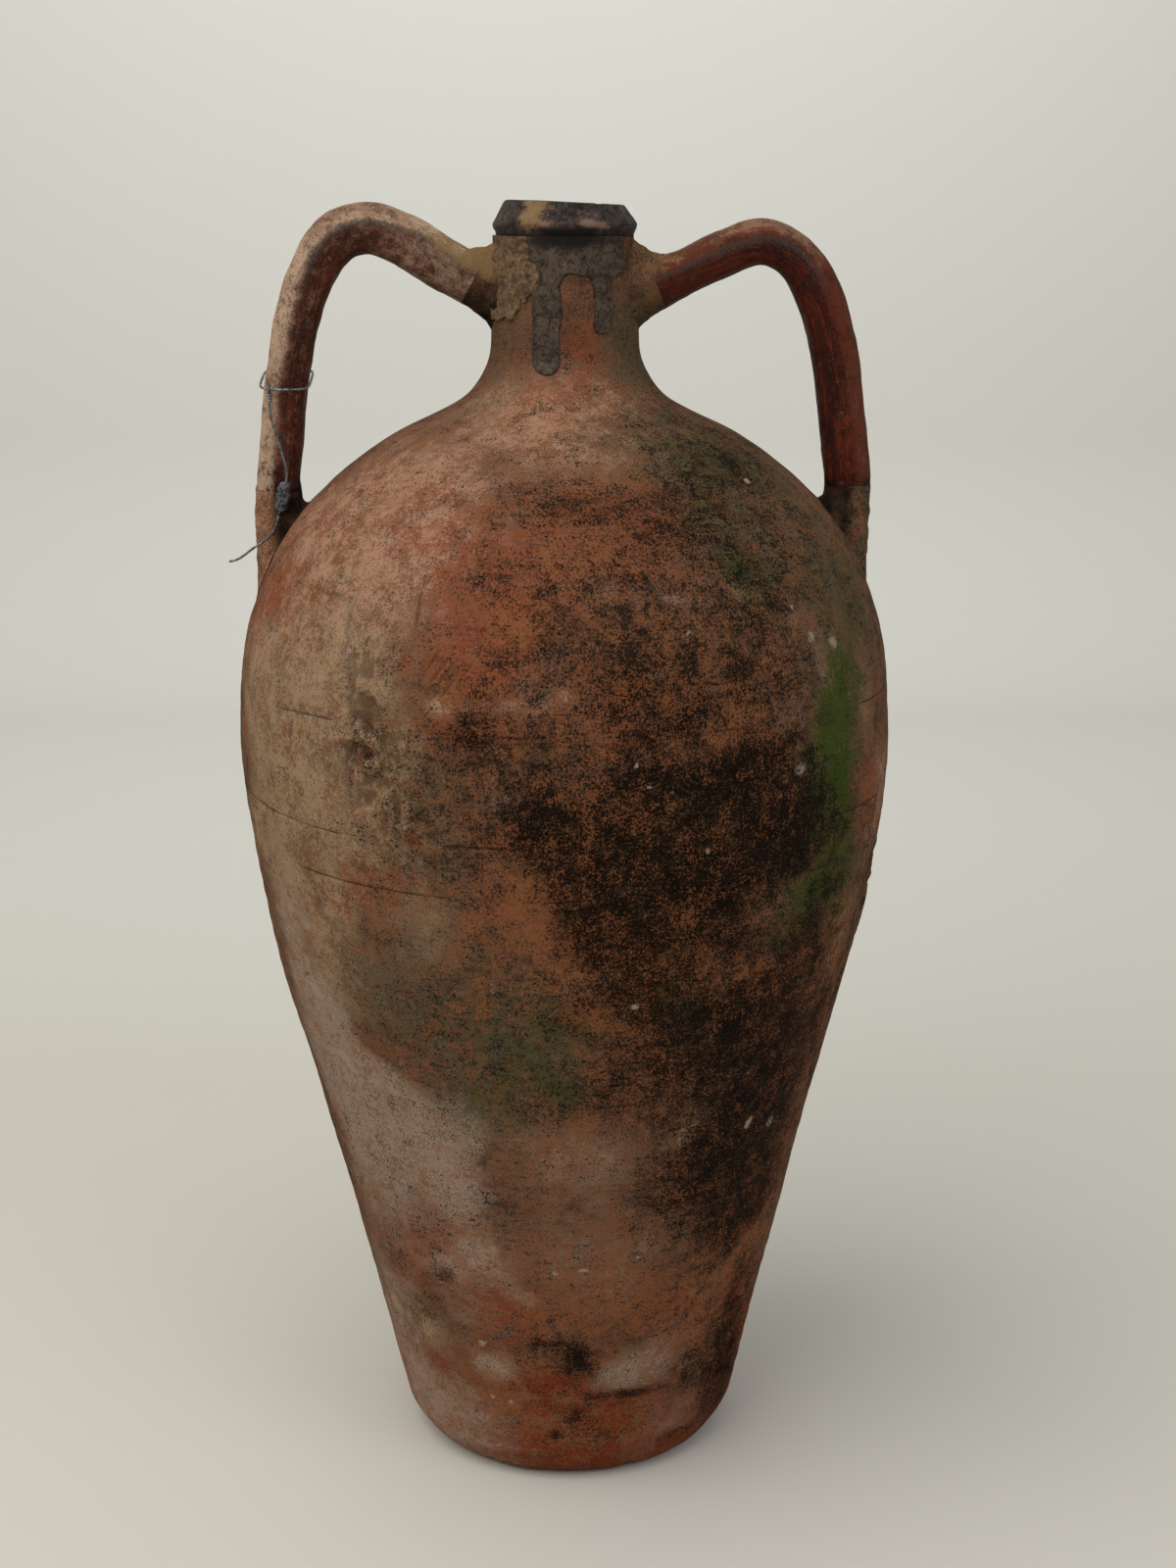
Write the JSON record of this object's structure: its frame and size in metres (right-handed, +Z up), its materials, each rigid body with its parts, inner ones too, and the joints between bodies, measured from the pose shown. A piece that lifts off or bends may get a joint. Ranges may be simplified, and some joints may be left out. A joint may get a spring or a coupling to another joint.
{
  "type": "olive jar",
  "caption": "Tall egg-bellied earthenware jar with a narrow neck and strap handles, raised in luted clay courses, for storing olives or oil; a wire-hung lead seal tags a handle.",
  "frame": {"origin": "centre of the foot's flat underside, on the jar's axis, where it stands on the ground", "axes": "+Z up along the jar's axis; -Y is the front, towards the viewer; +X is the viewer's right, and the handles lie in the XZ plane"},
  "size_m": [0.361, 0.3586, 0.7],
  "materials": {
    "foot_clay": "bare orange-red fired clay, sanded and lightly worn",
    "body_clay": "fired red earthenware, unglazed, worn and stained",
    "shoulder_clay": "fired red earthenware, unglazed, worn and stained",
    "neck_clay": "pinkish fired clay with fine grain, matt",
    "rim_clay": "fired clay, darkened purple-black and chipped",
    "pale_handle_clay": "pale buff slip over red clay, rubbed",
    "red_handle_clay": "dark red-brown fired clay, slightly shiny from handling",
    "luting_clay": "rough luting clay, darkened",
    "pitch": "old dull pitch, grey-brown",
    "lime_mortar": "ochre lime mortar, rough and crumbly",
    "iron_wire": "drawn iron wire, grey, lightly tarnished",
    "lead": "dull grey lead, pressed and scratched"
  },
  "bodies": {
    "jar": {"base_disc": "foot_clay", "lower_wall": "body_clay", "joining_coil": "body_clay", "belly_band": "body_clay", "shoulder_dome": "shoulder_clay", "neck": "neck_clay", "rim_collar": "rim_clay", "handle_left": "pale_handle_clay", "handle_left_root": "luting_clay", "handle_left_foot": "luting_clay", "handle_right": "red_handle_clay", "handle_right_root": "luting_clay", "handle_right_foot": "luting_clay", "pitch_run": "pitch", "mortar_crust": "lime_mortar", "tie_loop": "iron_wire"},
    "pendant": {"wire_eye": "iron_wire", "hanger_wire": "iron_wire", "lead_seal": "lead", "tail_wire": "iron_wire"}
  },
  "joints": [
    {"name": "seal_swing", "type": "hinge", "parent": "jar", "child": "pendant", "pos_m": [-0.15704, -0.018, 0.6025], "axis": [-1, 0, 0], "range_deg": [0, 170]}
  ]
}
